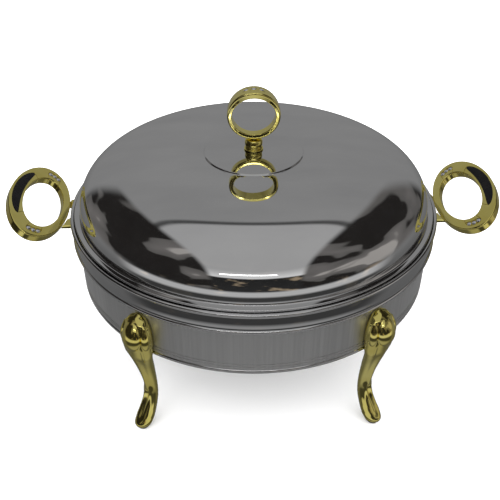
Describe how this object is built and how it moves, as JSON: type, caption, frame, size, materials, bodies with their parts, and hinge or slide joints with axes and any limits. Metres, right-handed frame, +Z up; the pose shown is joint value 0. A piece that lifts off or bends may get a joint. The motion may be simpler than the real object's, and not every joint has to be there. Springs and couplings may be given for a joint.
{
  "type": "round chafing dish",
  "caption": "Round chafing dish with a lift-off dome lid, ring handles, nested food and water pans, a four-legged stand and a fuel burner.",
  "frame": {"origin": "on the floor at the centre of the stand", "axes": "+X to the right handle, +Y to the rear, +Z up"},
  "size_m": [0.4856, 0.3644, 0.2757],
  "materials": {
    "polished_steel": "mirror-polished stainless steel",
    "brushed_steel": "vertically brushed stainless steel",
    "gold": "polished gold-coloured plating",
    "enamel": "glossy black enamel inlay",
    "crystal": "faceted clear crystals in a setting",
    "plain_steel": "plain stainless steel",
    "rubber": "matt black rubber",
    "tin": "tinplate"
  },
  "bodies": {
    "stand": {"stand_band": "brushed_steel", "stand_hoop": "polished_steel", "leg_front_left": "gold", "leg_front_right": "gold", "leg_rear_left": "gold", "leg_rear_right": "gold", "pad_front_left": "rubber", "pad_front_right": "rubber", "pad_rear_left": "rubber", "pad_rear_right": "rubber", "front_left_lower_screw": "plain_steel", "front_left_upper_screw": "plain_steel", "front_right_lower_screw": "plain_steel", "front_right_upper_screw": "plain_steel", "rear_left_lower_screw": "plain_steel", "rear_left_upper_screw": "plain_steel", "rear_right_lower_screw": "plain_steel", "rear_right_upper_screw": "plain_steel", "burner_strap": "plain_steel", "burner_bolt_left": "plain_steel", "burner_bolt_right": "plain_steel", "burner_holder": "plain_steel", "holder_rivet": "plain_steel"},
    "water_pan": {"water_pan": "polished_steel", "left_ring": "gold", "left_bracket": "gold", "left_enamel": "enamel", "left_front_gems": "crystal", "left_rear_gems": "crystal", "left_front_rivet": "plain_steel", "left_rear_rivet": "plain_steel", "right_ring": "gold", "right_bracket": "gold", "right_enamel": "enamel", "right_front_gems": "crystal", "right_rear_gems": "crystal", "right_front_rivet": "plain_steel", "right_rear_rivet": "plain_steel"},
    "food_pan": {"food_pan": "polished_steel"},
    "lid": {"lid_dome": "polished_steel", "knob_base": "gold", "knob_stem": "gold", "knob_ring": "gold", "knob_gems": "crystal", "knob_screw": "plain_steel", "knob_seal": "rubber"},
    "burner": {"fuel_can": "tin", "wick_plate": "tin", "snuffer_pin": "plain_steel"},
    "snuffer": {"snuffer": "tin"}
  },
  "joints": [
    {"name": "water_pan_lift", "type": "slide", "parent": "stand", "child": "water_pan", "axis": [0, 0, 1], "range_m": [0, 0.08]},
    {"name": "food_pan_lift", "type": "slide", "parent": "water_pan", "child": "food_pan", "axis": [0, 0, 1], "range_m": [0, 0.07]},
    {"name": "lid_lift", "type": "slide", "parent": "food_pan", "child": "lid", "axis": [0, 0, 1], "range_m": [0, 0.12]},
    {"name": "burner_lift", "type": "slide", "parent": "stand", "child": "burner", "axis": [0, 0, 1], "range_m": [0, 0.0125]},
    {"name": "snuffer_swing", "type": "hinge", "parent": "burner", "child": "snuffer", "pos_m": [0, 0.03, 0.0669], "axis": [0, 0, 1], "range_deg": [0, 100]}
  ]
}
